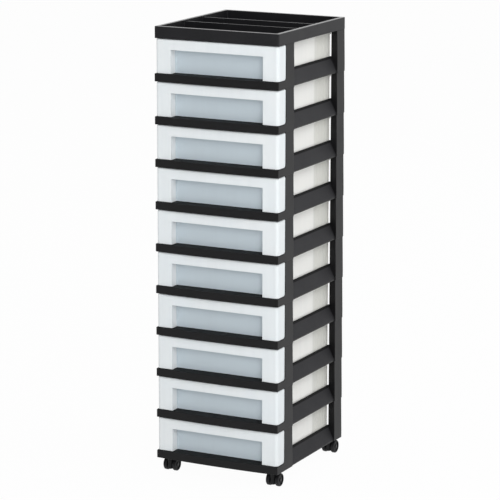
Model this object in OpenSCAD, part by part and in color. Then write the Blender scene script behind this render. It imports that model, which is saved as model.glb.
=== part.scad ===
// Rolling drawer tower: stacked shelf frames, sliding drawers, a divided tray
// on top and four twin-wheel casters. Millimetres, +Z up, front towards -Y.
// The origin lies on the floor, under the middle of the overall width and depth.

/* [Tower] */
// Number of drawers, each in a shelf frame of its own
drawer_count = 10; // [2:1:12]
// Width of the shelf frames and of the tray
frame_w = 306; // [260:1:360]
// Depth of the shelf frames, from the corners of the front lip to the back
frame_d = 340; // [310:1:400]
// Height from one shelf frame to the next
tier_h = 96.2; // [88:0.1:120]
// Wall of the shelf frames and of the tray
frame_wall = 2.5; // [2:0.1:3]

/* [Shelf frame] */
// Height of the front lip and of the back beam
shelf_h = 18; // [15:0.5:22]
// How far the middle of the front lip bows out
lip_bow = 5; // [2:0.5:9]
// Depth of the front shelf, in front of the front posts
front_shelf_d = 38; // [34:0.5:46]
// Depth of a front post
front_post_d = 40.5; // [30:0.5:52]
// Depth of a back post and of the back beam
back_post_d = 40; // [36:0.5:52]
// Thickness of a post across the tower
post_t = 16; // [12:0.5:19]
// How far a post leans in from the shelf to its top
post_lean = 1.3; // [0.4:0.1:1.8]
// Height of the peg on a post, which the frame above stands over
peg_h = 4; // [2.5:0.1:4.5]
// Clearance round a peg
peg_gap = 0.25; // [0.15:0.05:0.4]
// Height of a side rail
rail_h = 37; // [32:0.5:44]
// How far a side rail's foot stands in from the frame's side
rail_inset = 2.7; // [1.5:0.1:5]
// Height of the upright edge along the top of a side rail
rail_edge_h = 4.5; // [3:0.5:7]
// How much of a drawer's floor each runner carries
runner_bearing = 5.5; // [4:0.5:10]
// Number of ribs under the front shelf and under the back beam
shelf_ribs = 3; // [1:1:7]

/* [Drawer] */
// Wall of a drawer
drawer_wall = 2.2; // [1.8:0.1:2.6]
// Running gap between a drawer and what it slides on or meets
slide_gap = 0.3; // [0.2:0.05:0.5]
// Gap between a drawer's side and the posts' inner faces
side_gap = 5.5; // [5:0.1:8]
// Gap between a drawer's side and the edge of the side rail
guide_gap = 1.4; // [1.1:0.1:2]
// How far the drawer front stands in from each side of the frame
front_inset = 1.5; // [0.5:0.1:3]
// How far the drawer front stands behind the corners of the lip
front_setback = 2.5; // [1:0.1:4]
// Gap between the drawer front and the shelf frame above
front_top_gap = 0.8; // [0.5:0.1:1.5]
// How far a drawer reaches back over the back beam
back_reach = 9; // [4:0.5:20]
// Depth of the recess in the drawer front
recess_d = 24; // [18:0.5:28]
// Width of the columns at both sides of the recess
column_w = 38; // [32:0.5:46]
// Height of the band above the recess
band_h = 23.5; // [19:0.5:30]
// Radius of the drawer front's upright corners
front_round = 7; // [5:0.5:9]
// Radius of the drawer front's top edge
band_round = 3.5; // [2.5:0.1:4]
// How far the drawer's rim lies below the shelf frame above
rim_drop = 5; // [4:0.1:8]
// Height of the rim
rim_h = 4; // [3:0.1:6]
// How far the rim stands out from the drawer's side
rim_out = 3; // [2:0.1:4]
// Pitch of the upright ribs on the rear part of a drawer's side
rib_pitch = 8; // [6:0.5:12]
// Length of the ribbed rear part of a drawer's side
ribbed_d = 80; // [40:1:110]
// How far the ribs stand out
rib_out = 0.6; // [0.3:0.1:0.8]
// Height of the stop tabs above the underside of the shelf frame above
stop_rise = 3; // [2:0.1:3.5]
// Length of a stop tab, front to back
stop_d = 8; // [5:0.5:14]

/* [Tray] */
// Height of the tray
tray_h = 26.8; // [22:0.1:40]
// Width of the tray's flat rim
rim_w = 9; // [8:0.5:12]
// Height of the tray's floor above the tray's foot
tray_floor_z = 5; // [4.8:0.1:8]
// Depth of the front compartment, front to back
front_bay_d = 113; // [60:1:130]
// Depth of the middle compartment, front to back
middle_bay_d = 82; // [50:1:100]
// Thickness of the dividers
divider_t = 2.2; // [1.6:0.1:3]
// How far the dividers stay below the rim
divider_drop = 2; // [0.5:0.5:8]
// Radius of the tray's upright corners
tray_round = 3; // [2.6:0.1:6]

/* [Casters] */
// Diameter of a caster wheel
wheel_d = 30; // [26:0.5:40]
// Width of a caster wheel
wheel_w = 9; // [7:0.5:12]
// How far the wheels trail behind the stem
caster_trail = 8.5; // [8:0.1:10]
// Width of the caster body between the wheels
caster_body_w = 13; // [10.6:0.1:16]
// Diameter of the barrel between the wheels
barrel_d = 19; // [14:0.5:22]
// Diameter of the caster stem
stem_d = 7; // [6:0.1:7.4]
// Length of the stem in its socket
stem_grip = 17.5; // [12:0.5:17.5]
// Diameter of the axle
axle_d = 5; // [4:0.1:5]
// How far a socket hangs below the base frame
socket_drop = 3; // [1:0.1:6]
// Wall round the stem in its socket
socket_wall = 5; // [3:0.1:6]
// Height of the collar between the socket and the caster body
collar_h = 1.2; // [1:0.1:2.5]
// Place of a caster stem, in from the frame's side
stem_inset_x = 22; // [21:0.5:34]
// Place of a caster stem, in from the frame's front corners and back
stem_inset_y = 23.5; // [22:0.1:24]
// Running clearance on the radius of stems and axles
bore_gap = 0.05; // [0.03:0.01:0.08]

/* [Hidden] */
half_w = frame_w / 2;
back_y = (frame_d + lip_bow) / 2;
corner_y = back_y - frame_d;
lip_y = -back_y;
shelf_back_y = corner_y + front_shelf_d;
front_post_end_y = shelf_back_y + front_post_d;
back_beam_y = back_y - back_post_d;
post_in_x = half_w - post_t;
bow_r = (half_w * half_w + lip_bow * lip_bow) / (2 * lip_bow);

box_x = post_in_x - side_gap;
rail_top_x = box_x + guide_gap;
rail_foot_x = half_w - rail_inset;
rail_t = frame_wall + 0.5;
runner_x = box_x - runner_bearing;

front_x = half_w - front_inset;
front_y = corner_y + front_setback;
front_end_y = shelf_back_y - slide_gap;
front_low_z = shelf_h + 2 * slide_gap;
front_top_z = tier_h - front_top_gap;
recess_x = front_x - column_w;
recess_top_z = front_top_z - band_h;
panel_y = front_y + recess_d;
drawer_low_z = shelf_h + slide_gap;
rim_z = tier_h - rim_drop;
drawer_back_y = back_beam_y + back_reach;
rail_end_y = back_beam_y + 2 * frame_wall;
box_round = 6;

bay_x = half_w - rim_w;
bay_y0 = corner_y + rim_w;
bay_y1 = back_y - rim_w;
bay_ends = [bay_y0, bay_y0 + front_bay_d, bay_y0 + front_bay_d + divider_t + middle_bay_d];
divider_z = tray_h - divider_drop;

wheel_r = wheel_d / 2;
wheel_side_gap = 0.3;
stem_r = stem_d / 2;
axle_r = axle_d / 2;
wheel_top_gap = 0.5;
body_top_z = wheel_d + wheel_top_gap;
collar_z = body_top_z + slide_gap;
socket_z = collar_z + collar_h;
base_z = socket_z + socket_drop;
tray_z = base_z + drawer_count * tier_h;
stem_low_z = wheel_r - 6;
wheel_in_x = caster_body_w / 2 + wheel_side_gap;
hub_step = 1.5;
head_h = 1.2;

// Sides of the tower as [name, side in X, side in Y], -Y being the front
CORNERS = [
    ["front_left", -1, -1],
    ["front_right", 1, -1],
    ["back_left", -1, 1],
    ["back_right", 1, 1]
];

function frame_name(i) = i == 0 ? "base_frame" : str("shelf_frame_", i + 1);
function drawer_name(i) = str("drawer_", i + 1);
function caster_name(c, piece) = str(c[0], "_", piece);

// ---- building blocks ----

// A block between two corners
module block(x0, x1, y0, y1, z0, z1) {
    translate([x0, y0, z0]) cube([x1 - x0, y1 - y0, z1 - z0]);
}

// The same shape on both sides of the tower
module both_sides() {
    children();
    mirror([1, 0, 0]) children();
}

// An outline in X and Z, drawn out along Y
module along_y(y0, y1) {
    translate([0, y1, 0]) rotate([90, 0, 0]) linear_extrude(y1 - y0) children();
}

// An outline in Y and Z, drawn out along X
module along_x(x0, x1) {
    translate([x0, 0, 0]) rotate([90, 0, 90]) linear_extrude(x1 - x0) children();
}

// A rectangle whose corners are round, drawn as squares and circles
module round_rect(x, y0, y1, r) {
    translate([-x + r, y0]) square([2 * (x - r), y1 - y0]);
    translate([-x, y0 + r]) square([2 * x, y1 - y0 - 2 * r]);
    for (side = [-1, 1]) {
        translate([side * (x - r), y0 + r]) circle(r, $fn = 64);
        translate([side * (x - r), y1 - r]) circle(r, $fn = 64);
    }
}

// A rectangle whose two corners at y0 are round
module round_front(x, y0, y1, r) {
    translate([-x + r, y0]) square([2 * (x - r), y1 - y0]);
    translate([-x, y0 + r]) square([2 * x, y1 - y0 - r]);
    for (side = [-1, 1]) {
        translate([side * (x - r), y0 + r]) circle(r, $fn = 64);
    }
}

// ---- shelf frame ----

// How far a post has leaned in at a height
function lean(z) = post_lean * max(0, z - shelf_h) / (tier_h - shelf_h);

// Outline of a post seen from the front, between two heights
module post_outline(x0, inset, z0, z1) {
    polygon([
        [x0, z0],
        [half_w - inset, z0],
        [half_w - inset, shelf_h],
        [half_w - inset - lean(z1), z1],
        [x0, z1]
    ]);
}

// A post: a channel that is open towards the drawer, closed by a plate on top
module post(y0, y1) {
    difference() {
        along_y(y0, y1) post_outline(post_in_x, 0, 0, tier_h);
        along_y(y0 + frame_wall, y1 - frame_wall)
            post_outline(post_in_x - 1, frame_wall, -1, tier_h - frame_wall);
    }
    peg(y0, y1);
}

// The peg on a post, which the foot of the next piece stands over
module peg(y0, y1) {
    inner = frame_wall + peg_gap;
    block(post_in_x + frame_wall, half_w - inner, y0 + inner, y1 - inner,
        tier_h - frame_wall, tier_h + peg_h);
}

// Plan of the front shelf, with its bowed lip
module front_shelf_plan(inset) {
    intersection() {
        translate([0, lip_y + bow_r]) circle(bow_r - inset, $fn = 720);
        translate([-half_w + inset, lip_y - 1])
            square([frame_w - 2 * inset, shelf_back_y - inset - lip_y + 1]);
    }
}

// The front shelf: a hollow beam that is open below
module front_shelf() {
    difference() {
        linear_extrude(shelf_h) front_shelf_plan(0);
        translate([0, 0, -1]) linear_extrude(shelf_h - frame_wall + 1) front_shelf_plan(frame_wall);
    }
    shelf_rib_row(corner_y + 1, shelf_back_y - 1);
}

// The back beam: a hollow beam that is open below
module back_beam() {
    difference() {
        block(-half_w, half_w, back_beam_y, back_y, 0, shelf_h);
        block(-half_w + frame_wall, half_w - frame_wall, back_beam_y + frame_wall,
            back_y - frame_wall, -1, shelf_h - frame_wall);
    }
    shelf_rib_row(back_beam_y + 1, back_y - 1);
}

// Ribs across a hollow beam, evenly spaced over its width
module shelf_rib_row(y0, y1) {
    rib_t = 2;
    step = 2 * post_in_x / (shelf_ribs + 1);
    for (k = [1 : shelf_ribs]) {
        x = -post_in_x + k * step;
        block(x - rib_t / 2, x + rib_t / 2, y0, y1, 2, shelf_h - 1);
    }
}

// Section of a side rail: a foot, a web that leans in and an upright top edge
module rail_outline() {
    foot_h = 3.5;
    edge_z = rail_h - rail_edge_h;
    polygon([
        [rail_foot_x - rail_t, 0],
        [rail_foot_x, 0],
        [rail_foot_x, foot_h],
        [rail_top_x + rail_t, edge_z],
        [rail_top_x + rail_t, rail_h],
        [rail_top_x, rail_h],
        [rail_top_x, edge_z - 1],
        [rail_foot_x - rail_t, foot_h - 1]
    ]);
}

// A side rail, whose end reaches into the back post and is notched over the peg
module side_rail() {
    notch_gap = 0.5;
    difference() {
        along_y(front_post_end_y - 1, rail_end_y) rail_outline();
        block(post_in_x, half_w, back_beam_y + frame_wall, rail_end_y + 1,
            -1, peg_h + notch_gap);
    }
}

// A runner: the ledge that carries the edge of a drawer's floor
module runner() {
    web_x = (rail_foot_x + rail_top_x) / 2;
    block(runner_x, web_x, shelf_back_y - 1, back_beam_y + 1, shelf_h - frame_wall, shelf_h);
    block(runner_x, half_w - 1, shelf_back_y - 1, front_post_end_y - 1,
        shelf_h - frame_wall, shelf_h);
}

// One socket for a caster stem, under a corner of the base frame
module caster_socket(c) {
    translate([c[1] * (half_w - stem_inset_x), stem_y(c), 0])
        difference() {
            translate([0, 0, -socket_drop])
                cylinder(h = socket_drop + shelf_h - 1, r = stem_r + socket_wall, $fn = 64);
            translate([0, 0, -socket_drop - 1])
                cylinder(h = stem_grip + 2, r = stem_r + bore_gap, $fn = 64);
        }
}

// A shelf frame with its posts; the lowest one also holds the casters
module shelf_frame(i) {
    color([0.2, 0.2, 0.21])
        translate([0, 0, base_z + i * tier_h]) {
            front_shelf();
            back_beam();
            both_sides() {
                post(shelf_back_y, front_post_end_y);
                post(back_beam_y, back_y);
                side_rail();
                runner();
            }
            if (i == 0) {
                for (c = CORNERS) caster_socket(c);
            }
        }
}

// ---- drawer ----

// The drawer front: columns and band as one hollow block with rounded edges
module front_block(inset) {
    top_r = max(0.5, band_round - inset);
    intersection() {
        translate([0, 0, front_low_z + inset])
            linear_extrude(front_top_z - front_low_z - 2 * inset)
                round_front(front_x - inset, front_y + inset, front_end_y - inset,
                    front_round - inset);
        along_x(-half_w, half_w) front_profile(inset, top_r);
    }
}

// Section of the drawer front, with its rounded top edge
module front_profile(inset, r) {
    y0 = front_y + inset;
    y1 = front_end_y - inset;
    z0 = front_low_z + inset;
    z1 = front_top_z - inset;
    translate([y0 + r, z0]) square([y1 - y0 - r, z1 - z0]);
    translate([y0, z0]) square([y1 - y0, z1 - z0 - r]);
    translate([y0 + r, z1 - r]) circle(r, $fn = 64);
}

// The box behind the drawer front, and its rim
module drawer_box(inset, z0, z1) {
    translate([0, 0, z0]) linear_extrude(z1 - z0)
        round_rect(box_x - inset, panel_y + inset, drawer_back_y - inset, box_round - inset);
}

// The space inside the drawer: the box and the hollow columns
module drawer_inside() {
    drawer_box(drawer_wall, drawer_low_z + drawer_wall, tier_h + 1);
    intersection() {
        front_block(drawer_wall);
        both_sides() block(recess_x + drawer_wall, front_x, front_y, front_end_y, 0, tier_h);
    }
}

// The recess in the drawer front: an open window and the pull under its hood
module front_recess() {
    block(-recess_x, recess_x, front_y - 1, panel_y, shelf_h, recess_top_z);
    block(-recess_x, recess_x, front_y + drawer_wall, panel_y, shelf_h,
        front_top_z - drawer_wall);
}

// The rim, which stands out from the sides and back of the box
module drawer_rim() {
    rim_back = 1;
    translate([0, 0, rim_z - rim_h]) linear_extrude(rim_h)
        round_rect(box_x + rim_out, front_end_y - 1, drawer_back_y + rim_back,
            box_round + rim_out / 2);
}

// Upright ribs on the rear part of both sides
module side_ribs() {
    rib_t = 1.2;
    count = floor(ribbed_d / rib_pitch);
    for (k = [0 : count - 1]) {
        y = drawer_back_y - box_round - rib_t - k * rib_pitch;
        both_sides() block(box_x - 1, box_x + rib_out, y, y + rib_t,
            rail_h - 10, rim_z - rim_h + 1);
    }
}

// The panel behind the recess, which is the front wall of the box
module window_panel() {
    block(-recess_x - drawer_wall, recess_x + drawer_wall, panel_y, panel_y + drawer_wall,
        drawer_low_z, front_top_z - 1);
}

// Tabs on the side walls that catch the shelf above when the drawer is out
module stop_tabs() {
    end_y = back_beam_y - 1;
    both_sides() block(box_x - drawer_wall, box_x, end_y - stop_d, end_y,
        rim_z - rim_h, tier_h + stop_rise);
}

module drawer(i) {
    color([0.9, 0.92, 0.93])
        translate([0, 0, base_z + i * tier_h]) {
            difference() {
                union() {
                    front_block(0);
                    drawer_box(0, drawer_low_z, rim_z);
                    drawer_rim();
                    side_ribs();
                }
                drawer_inside();
                front_recess();
            }
            window_panel();
            stop_tabs();
        }
}

// ---- tray ----

// The foot that stands over a post's peg
module tray_foot(y0, y1) {
    difference() {
        block(post_in_x, half_w - 1, y0, y1, 0, tray_floor_z + 1);
        block(post_in_x - 1, half_w - frame_wall, y0 + frame_wall, y1 - frame_wall,
            -1, tray_floor_z);
    }
}

// A compartment of the tray
module bay(y0, y1) {
    translate([0, 0, tray_floor_z + frame_wall]) linear_extrude(tray_h)
        round_rect(bay_x, y0, y1, tray_round);
}

module organizer_tray() {
    basin_x = bay_x + frame_wall;
    color([0.22, 0.22, 0.23])
        translate([0, 0, tray_z]) {
            difference() {
                linear_extrude(tray_h) round_rect(half_w, corner_y, back_y, tray_round);
                // hollow between the outer wall and the basin, open below
                difference() {
                    translate([0, 0, -1]) linear_extrude(tray_h - frame_wall + 1)
                        round_rect(half_w - frame_wall, corner_y + frame_wall,
                            back_y - frame_wall, 0.5);
                    block(-basin_x, basin_x, bay_y0 - frame_wall, bay_y1 + frame_wall,
                        tray_floor_z, tray_h);
                }
                bay(bay_ends[0], bay_ends[1]);
                bay(bay_ends[1] + divider_t, bay_ends[2]);
                bay(bay_ends[2] + divider_t, bay_y1);
                block(-bay_x + tray_round, bay_x - tray_round, bay_y0 + tray_round,
                    bay_y1 - tray_round, divider_z, tray_h + 1);
            }
            both_sides() {
                tray_foot(shelf_back_y, front_post_end_y);
                tray_foot(back_beam_y, back_y);
            }
            // stop for the tabs of the top drawer
            block(-box_x - 1, box_x + 1, shelf_back_y - frame_wall, shelf_back_y,
                0, tray_floor_z + 1);
        }
}

// ---- casters ----

function stem_y(c) = c[2] < 0 ? corner_y + stem_inset_y : back_y - stem_inset_y;

// The place of a caster: its stem's axis on the floor
module at_caster(c) {
    translate([c[1] * (half_w - stem_inset_x), stem_y(c), 0]) children();
}

// A rod along X, centred on the axle's line
module axle_rod(x0, x1, r) {
    translate([x0, caster_trail, wheel_r]) rotate([0, 90, 0])
        cylinder(h = x1 - x0, r = r, $fn = 64);
}

module caster_stem(c) {
    color([0.7, 0.71, 0.73])
        at_caster(c) {
            translate([0, 0, stem_low_z])
                cylinder(h = socket_z + stem_grip - stem_low_z, r = stem_r, $fn = 64);
            translate([0, 0, collar_z]) cylinder(h = collar_h, r = stem_r + 3, $fn = 64);
        }
}

module caster_body(c) {
    boss_r = caster_body_w / 2 - 0.2;
    color([0.12, 0.12, 0.13])
        at_caster(c)
            difference() {
                union() {
                    axle_rod(-caster_body_w / 2, caster_body_w / 2, barrel_d / 2);
                    translate([0, 0, stem_low_z - 3])
                        cylinder(h = body_top_z - stem_low_z + 3, r = boss_r, $fn = 64);
                }
                translate([0, 0, stem_low_z - 0.5])
                    cylinder(h = body_top_z, r = stem_r + bore_gap, $fn = 64);
                axle_rod(-caster_body_w, caster_body_w, axle_r + bore_gap);
            }
}

module caster_axle(c) {
    head_x = wheel_in_x + wheel_w - hub_step + wheel_side_gap;
    color([0.75, 0.76, 0.78])
        at_caster(c) {
            axle_rod(-head_x - head_h, head_x + head_h, axle_r);
            for (x = [-head_x - head_h, head_x]) axle_rod(x, x + head_h, axle_r + 1.5);
        }
}

// Half section of a wheel: radius along X, width along Y, outer face on top
module wheel_section() {
    edge_r = 2;
    difference() {
        union() {
            square([wheel_r - edge_r, wheel_w]);
            translate([0, edge_r]) square([wheel_r, wheel_w - 2 * edge_r]);
            translate([wheel_r - edge_r, edge_r]) circle(edge_r, $fn = 64);
            translate([wheel_r - edge_r, wheel_w - edge_r]) circle(edge_r, $fn = 64);
        }
        translate([-1, -1]) square([1 + axle_r + bore_gap, wheel_w + 2]);
        translate([-1, wheel_w - hub_step]) square([1 + axle_r + 3, hub_step + 1]);
        translate([axle_r + 3, wheel_w - hub_step - 0.5])
            square([wheel_r - 4 - axle_r - 3, hub_step + 1.5]);
        translate([axle_r + 4, -1])
            square([wheel_r - 3 - axle_r - 4, wheel_w / 2 - 1]);
    }
}

// A wheel beside the caster body, on the side of the body given by its sign
module wheel(c, side) {
    color([0.16, 0.16, 0.17])
        at_caster(c) translate([side * wheel_in_x, caster_trail, wheel_r])
            rotate([0, side * 90, 0]) rotate_extrude($fn = 96) wheel_section();
}

// ---- the tower ----

for (i = [0 : drawer_count - 1]) {
    shelf_frame(i);
    drawer(i);
}
organizer_tray();
for (c = CORNERS) {
    caster_stem(c);
    caster_body(c);
    caster_axle(c);
    wheel(c, c[1]);
    wheel(c, -c[1]);
}
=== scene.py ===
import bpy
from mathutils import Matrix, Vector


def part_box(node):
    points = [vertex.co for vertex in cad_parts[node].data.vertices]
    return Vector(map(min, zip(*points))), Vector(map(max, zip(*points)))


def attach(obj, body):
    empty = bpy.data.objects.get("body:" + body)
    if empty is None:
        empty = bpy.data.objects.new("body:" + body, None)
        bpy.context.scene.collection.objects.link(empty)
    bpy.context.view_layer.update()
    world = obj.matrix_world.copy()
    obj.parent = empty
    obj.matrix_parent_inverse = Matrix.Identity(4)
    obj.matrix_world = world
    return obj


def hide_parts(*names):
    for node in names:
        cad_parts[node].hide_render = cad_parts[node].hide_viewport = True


bl_info = {
    "name": "Drawer Tower",
    "version": (1, 0, 0),
    "blender": (4, 5, 0),
    "location": "3D View > Sidebar > Drawer Tower",
    "description": "Rolling tower of pearl drawers in a stacked black rack",
    "category": "Object",
}

import math

import bmesh
import bpy
from mathutils import Vector

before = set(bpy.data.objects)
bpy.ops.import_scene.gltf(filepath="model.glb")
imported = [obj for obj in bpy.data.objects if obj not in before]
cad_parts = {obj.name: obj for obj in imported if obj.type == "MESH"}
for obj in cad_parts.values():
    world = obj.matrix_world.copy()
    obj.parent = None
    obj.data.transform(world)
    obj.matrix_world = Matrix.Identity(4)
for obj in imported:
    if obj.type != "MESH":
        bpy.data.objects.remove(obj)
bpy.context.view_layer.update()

# Places taken from the frame, in metres; a shelf frame's own height starts at its foot
TIERS = sum(name.startswith("drawer_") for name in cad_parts)
RING_LOW, RING_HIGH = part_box("shelf_frame_2")
TIER_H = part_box("shelf_frame_3")[0].z - RING_LOW.z
BASE_Z = RING_LOW.z - TIER_H
HALF_W = RING_HIGH.x
LIP_Y = RING_LOW.y
BACK_Y = RING_HIGH.y
PEG_H = RING_HIGH.z - RING_LOW.z - TIER_H
TRAY_LOW, TRAY_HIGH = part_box("organizer_tray")
CORNER_Y = TRAY_LOW.y
DRAWER_LOW, DRAWER_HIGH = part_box("drawer_1")
STOP_Z = DRAWER_HIGH.z - BASE_Z
CORNERS = [("front_left", -1), ("front_right", 1), ("back_left", -1), ("back_right", 1)]

# Points nearer to each other than this are one point
STRAY_GAP = 0.000004
# How far a tool or a joined block reaches past the face that it cuts or meets
OVER = 0.001
# How far a joined block stays inside a face that it would share, and the play of a test
HAIR = 0.0001
# Roundings of thin ledges, of small parts and of larger ones
THIN_EDGE = 0.0004
FINE_EDGE = 0.0006
SOFT_EDGE = 0.0008
# Place, target and width of each lamp
LAMPS = {
    "key": ((2.4, -2.6, 3.4), (0, 0, 0.5), 2.6),
    "front": ((2.3, -3.9, 1.8), (0, 0, 0.5), 2.6),
    "side": ((2.8, 0.6, 3.4), (0, 0, 0.6), 2.2),
    "back": ((0.4, 3.9, 2.8), (0, 0, 0.5), 2.4),
}


# ---- settings ----

def length(name, description, default):
    return bpy.props.FloatProperty(name=name, description=description, default=default,
                                   min=0.0, precision=5, subtype="DISTANCE", unit="LENGTH")


def angle(name, description, default):
    return bpy.props.FloatProperty(name=name, description=description,
                                   default=math.radians(default), subtype="ANGLE",
                                   unit="ROTATION")


def colour(name, description, default):
    return bpy.props.FloatVectorProperty(name=name, description=description, size=3,
                                         default=default, min=0.0, max=1.0, subtype="COLOR")


def strength(name, description, default):
    return bpy.props.FloatProperty(name=name, description=description, default=default, min=0.0)


class TowerRackSizes(bpy.types.PropertyGroup):
    shelf_h: length("Lip height", "Height of the front lip and the back beam", 0.018)
    shelf_d: length("Shelf depth", "Depth of the shelf in front of the front posts", 0.038)
    lip_bow: length("Lip bow", "How far the middle of the lip bows out", 0.005)
    wall: length("Wall", "Wall of the shelf frames", 0.0025)
    edge: length("Edge", "Rounding of the frames' outer edges", 0.0009)
    post_t: length("Post thickness", "Thickness of a post across the tower", 0.016)
    front_post_d: length("Front post depth", "Depth of a front post", 0.0405)
    back_post_d: length("Back post depth", "Depth of a back post", 0.040)
    post_lean: length("Post lean", "How far a post leans in at its top", 0.0013)
    rail_h: length("Rail height", "Height of a side rail", 0.037)
    rail_edge: length("Rail edge", "Height of the upright edge of a side rail", 0.0045)
    rail_t: length("Rail thickness", "Thickness of a side rail", 0.003)
    rail_foot_h: length("Rail foot", "Height of the upright foot of a side rail", 0.0035)
    rail_inset: length("Rail inset", "How far a rail's foot stands in from the side", 0.0027)
    guide_x: length("Guide", "Inner face of a rail's upright edge from the middle", 0.1329)
    guide_gap: length("Guide gap", "Gap between a drawer's side and the rail", 0.0014)
    rail_end: length("Rail end", "How far a rail reaches into the back post", 0.005)
    bead_d: length("Bead", "Depth of the raised bead where a rail meets the post", 0.0016)
    bead_h: length("Bead height", "How far the bead stands out from the rail", 0.001)
    bearing: length("Runner bearing", "How much of a drawer's floor a runner carries", 0.0055)
    socket_r: length("Socket radius", "Radius of a caster socket", 0.0085)
    lip_fillet: length("Lip fillet", "Hollow between the lip and the front post", 0.009)
    window_round: length("Window rounding", "Rounding of the side windows' upper corners", 0.0035)


class TowerDrawerSizes(bpy.types.PropertyGroup):
    half_w: length("Half width", "Half the width of the box behind the front", 0.1315)
    side_round: length("Box corner", "Radius of the box' upright corners", 0.006)
    foot_gap: length("Running gap", "Gap under a drawer and behind its front", 0.0003)
    setback: length("Setback", "How far the front stands behind the lip's corners", 0.0025)
    front_inset: length("Front inset", "How far the front stands in from each side", 0.0015)
    front_gap: length("Front gap", "Gap between the front and the frame above", 0.0008)
    rim_drop: length("Rim drop", "How far the rim lies below the frame above", 0.005)
    rim_out: length("Rim width", "How far the rim stands out from the sides", 0.003)
    rim_back: length("Rim at the back", "How far the rim stands out from the back", 0.001)
    wall: length("Wall", "Wall of a drawer", 0.0022)
    front_round: length("Corner", "Radius of the front's upright corners", 0.007)
    top_round: length("Top edge", "Radius of the front's top edge", 0.0034)
    band_h: length("Band height", "Height of the band above the recess", 0.0235)
    column_w: length("Column width", "Width of the columns beside the recess", 0.038)
    recess_d: length("Recess depth", "Depth of the recess in the front", 0.024)
    mouth_round: length("Mouth rounding", "Rounding of the recess' front edges", 0.0016)
    corner_fillet: length("Recess fillet", "Fillet in the recess' upright corners", 0.003)
    rim_h: length("Rim height", "Height of the rim round the box", 0.004)
    rib_pitch: length("Rib pitch", "Pitch of the ribs on the rear of the sides", 0.008)
    rib_t: length("Rib thickness", "Thickness of a rib", 0.0012)
    rib_out: length("Rib height", "How far a rib stands out", 0.0006)
    ribbed_d: length("Ribbed length", "Length of the ribbed rear part of the sides", 0.080)
    stop_d: length("Stop tab", "Length of a stop tab, front to back", 0.008)


class TowerTraySizes(bpy.types.PropertyGroup):
    wall: length("Wall", "Wall of the tray", 0.0025)
    rim_w: length("Rim width", "Width of the flat rim", 0.009)
    floor_h: length("Floor height", "Underside of the compartments above the tray's foot", 0.005)
    front_bay_d: length("Front compartment", "Depth of the front compartment", 0.113)
    middle_bay_d: length("Middle compartment", "Depth of the middle compartment", 0.082)
    divider_t: length("Divider thickness", "Thickness of a divider", 0.0022)
    divider_drop: length("Divider drop", "How far a divider stays below the rim", 0.002)
    corner: length("Corner", "Radius of the upright corners", 0.003)


class TowerCasterSizes(bpy.types.PropertyGroup):
    tyre_round: length("Tyre rounding", "Rounding of a wheel's edges", 0.002)
    rim_w: length("Wheel rim", "Width of the rim round a wheel's sunk face", 0.002)
    face_sink: length("Sunk face", "How deep a wheel's outer face lies in its rim", 0.002)
    hub_r: length("Hub radius", "Radius of the hub in the middle of a wheel", 0.0055)
    bore_r: length("Bore radius", "Radius of the bore for the axle", 0.00255)
    stem_bore_r: length("Stem bore", "Radius of the bore for the stem", 0.00355)
    barrel_r: length("Barrel radius", "Radius of the body between the wheels", 0.0095)


class TowerFinishes(bpy.types.PropertyGroup):
    rack_black: colour("Rack", "Black plastic of the shelf frames", (0.005, 0.005, 0.0055))
    # The bloom is a paler random tone; three times brighter it is also the painted sheen on
    # slopes and the painted highlight on edges
    rack_bloom_and_sheen: colour("Rack bloom", "Paler bloom on the black plastic", (0.010, 0.010, 0.011))
    tray_black: colour("Tray", "Black plastic of the tray", (0.011, 0.011, 0.0125))
    # As on the rack: a paler random tone, and three times brighter the painted sheen and painted
    # edge highlight
    tray_bloom_and_sheen: colour("Tray bloom", "Paler bloom on the tray", (0.017, 0.017, 0.019))
    pearl: colour("Pearl", "Pearl plastic of the drawer fronts", (0.79, 0.84, 0.865))
    pearl_thick: colour("Pearl, thick", "Tone of the fronts where the plastic is thicker",
                        (0.83, 0.855, 0.86))
    side_pearl: colour("Sides", "Warmer tone of the drawers' sides", (0.86, 0.86, 0.83))
    rear_pearl: colour("Rear", "Duller tone of the ribbed rear of the sides",
                       (0.69, 0.69, 0.65))
    # Painted light: the recess' flanks are painted paler, as if well lit
    lit_flank: colour("Flank", "Paler tone of the recess' flanks", (0.95, 0.97, 0.98))
    # Painted shade: the thin panel is painted darker and bluer, for the dark inside of the drawer
    # showing through
    window: colour("Window", "Tone of the thin panel in the recess", (0.60, 0.685, 0.74))
    caster_black: colour("Caster", "Black plastic of the caster bodies", (0.004, 0.004, 0.0045))
    wheel_black: colour("Wheel", "Dark plastic of the wheels", (0.010, 0.010, 0.011))
    steel: colour("Steel", "Plated steel of the stems", (0.26, 0.265, 0.27))
    dark_steel: colour("Dark steel", "Blackened steel of the axles", (0.035, 0.035, 0.037))
    grain: strength("Grain", "Grains per metre in the moulded surfaces", 900.0)


class TowerStudio(bpy.types.PropertyGroup):
    yaw: angle("Yaw", "Camera's turn round the tower from the front", 26.88)
    pitch: angle("Pitch", "Camera's height angle", 12.31)
    roll: angle("Roll", "Camera's roll", 0.07)
    distance: length("Distance", "Distance of the camera from its target", 5.835)
    target: bpy.props.FloatVectorProperty(
        name="Target", description="Point that the camera looks at", size=3,
        default=(-0.0020, 0.0025, 0.5013), subtype="TRANSLATION", unit="LENGTH")
    lens: bpy.props.FloatProperty(name="Lens", description="Focal length in millimetres",
                                  default=184.6, min=1.0, unit="CAMERA")
    floor: colour("Floor", "Colour of the floor", (0.76, 0.76, 0.76))
    ambient: strength("Ambient", "Light from all around", 0.52)
    key: strength("Key", "Power of the key light", 46.0)
    front: strength("Front", "Power of the light on the drawer fronts", 66.0)
    side: strength("Side", "Power of the light on the side", 29.0)
    back: strength("Back", "Power of the light on the back", 24.0)


# ---- modelling ----

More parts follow.
